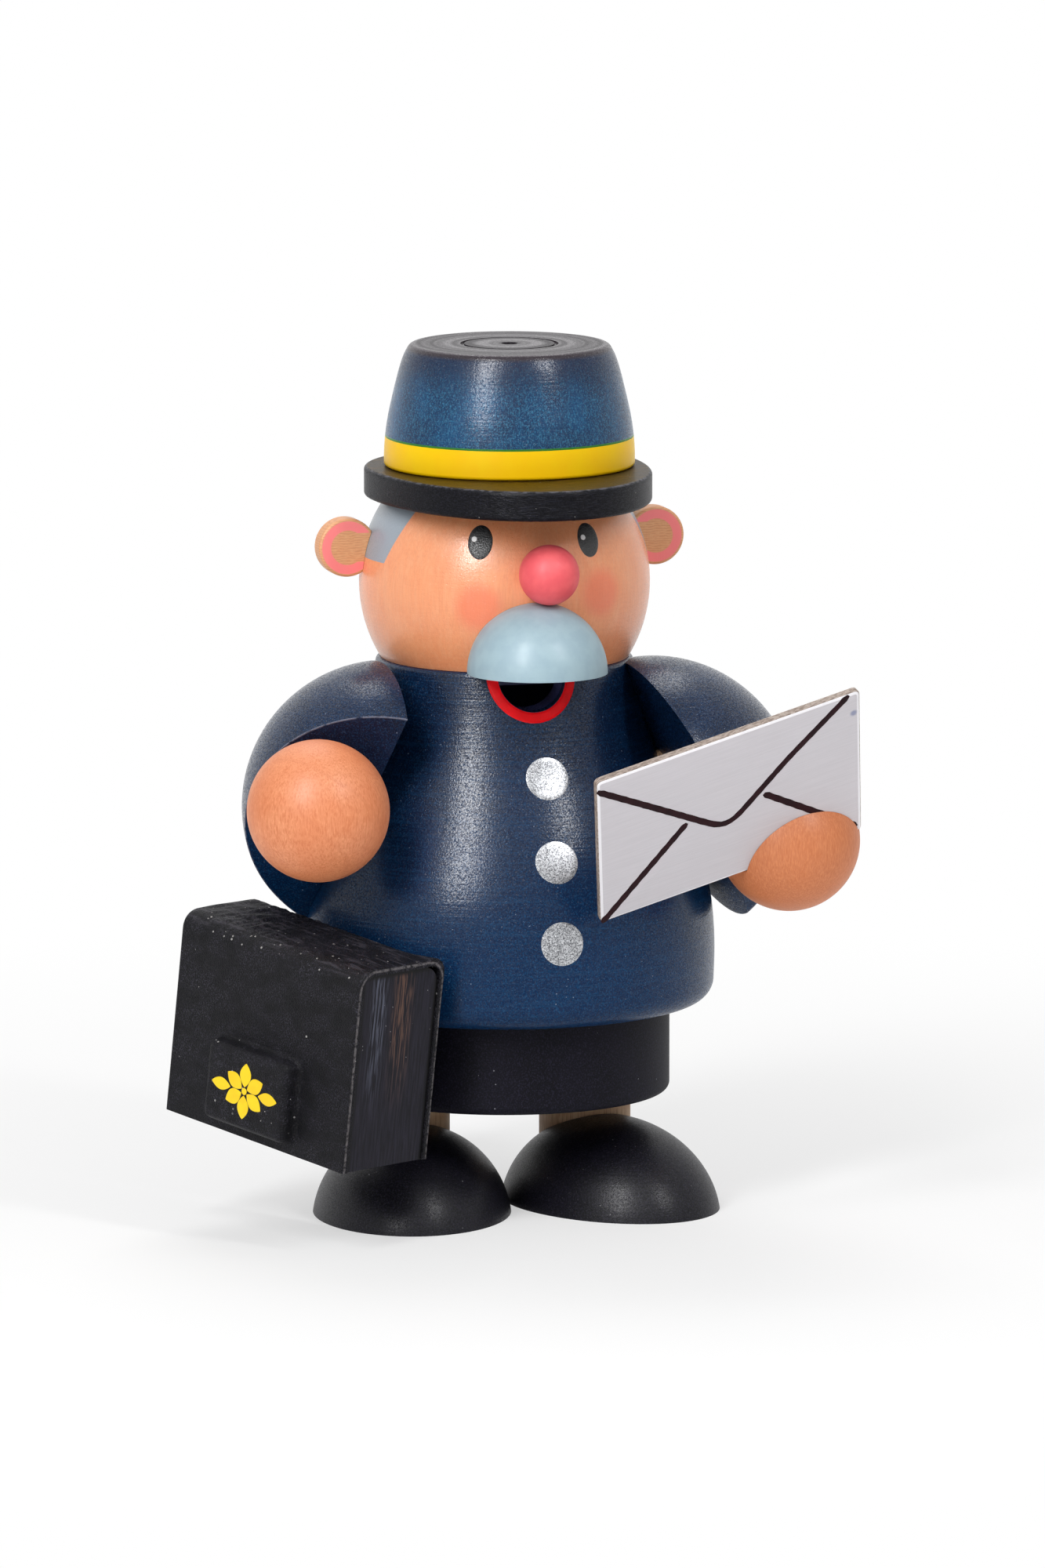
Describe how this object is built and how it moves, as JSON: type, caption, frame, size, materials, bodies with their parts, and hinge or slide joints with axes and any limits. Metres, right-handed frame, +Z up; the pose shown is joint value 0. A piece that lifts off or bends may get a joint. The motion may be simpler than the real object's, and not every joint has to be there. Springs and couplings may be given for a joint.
{
  "type": "incense smoker figure",
  "caption": "Turned wooden incense smoker: a messenger with peaked hat, envelope and shoulder bag; the hollow jacket lifts off its base over an incense plate and smoke leaves at the mouth.",
  "frame": {"origin": "on the ground under the axis the jacket was turned on, between the two soles", "axes": "+Z up, the figure faces -Y, its left hand is on the +X side"},
  "size_m": [0.1159, 0.0979, 0.1507],
  "materials": {
    "black_stained_wood": "stained, satin lacquer",
    "bare_wood": "bare, sanded",
    "navy_stained_wood": "stained navy, satin lacquer, painted buttons and mouth ring",
    "skin_wood": "tinted, satin lacquer, painted eyes, cheeks and hair",
    "hand_wood": "tinted, matt",
    "ear_wood": "tinted, painted pink inside",
    "nose_paint": "matt painted",
    "moustache_paint": "satin painted",
    "blue_stained_wood": "stained blue, lacquered, painted yellow band",
    "board": "coated thin board, printed lines, brown edge",
    "leather": "thin black leather, fine grain",
    "steel": "plain",
    "brass": "plain sheet"
  },
  "bodies": {
    "stand": {"shoe_left": "black_stained_wood", "shoe_right": "black_stained_wood", "leg_left": "bare_wood", "leg_right": "bare_wood", "trousers": "black_stained_wood", "plate_nail": "steel"},
    "plate": {"cone_plate": "brass"},
    "figure": {"jacket": "navy_stained_wood", "neck_dowel": "bare_wood", "head": "skin_wood", "nose": "nose_paint", "moustache": "moustache_paint", "ear_left": "ear_wood", "ear_right": "ear_wood", "hat_brim": "black_stained_wood", "hat_crown": "blue_stained_wood", "hat_dowel": "bare_wood", "sleeve_left": "navy_stained_wood", "sleeve_right": "navy_stained_wood", "sleeve_peg_left": "bare_wood", "sleeve_peg_right": "bare_wood", "hand_left": "hand_wood", "hand_right": "hand_wood", "hand_peg_left": "bare_wood", "hand_peg_right": "bare_wood", "envelope": "board", "bag_core": "black_stained_wood", "bag_cover": "leather", "bag_pocket": "leather", "bag_peg": "bare_wood"}
  },
  "joints": [
    {"name": "figure_turn", "type": "hinge", "parent": "stand", "child": "plate", "pos_m": [0, 0, 0.0421], "axis": [0, 0, 1], "continuous": true},
    {"name": "figure_lift", "type": "slide", "parent": "plate", "child": "figure", "axis": [0, 0, 1], "range_m": [0, 0.07]}
  ]
}
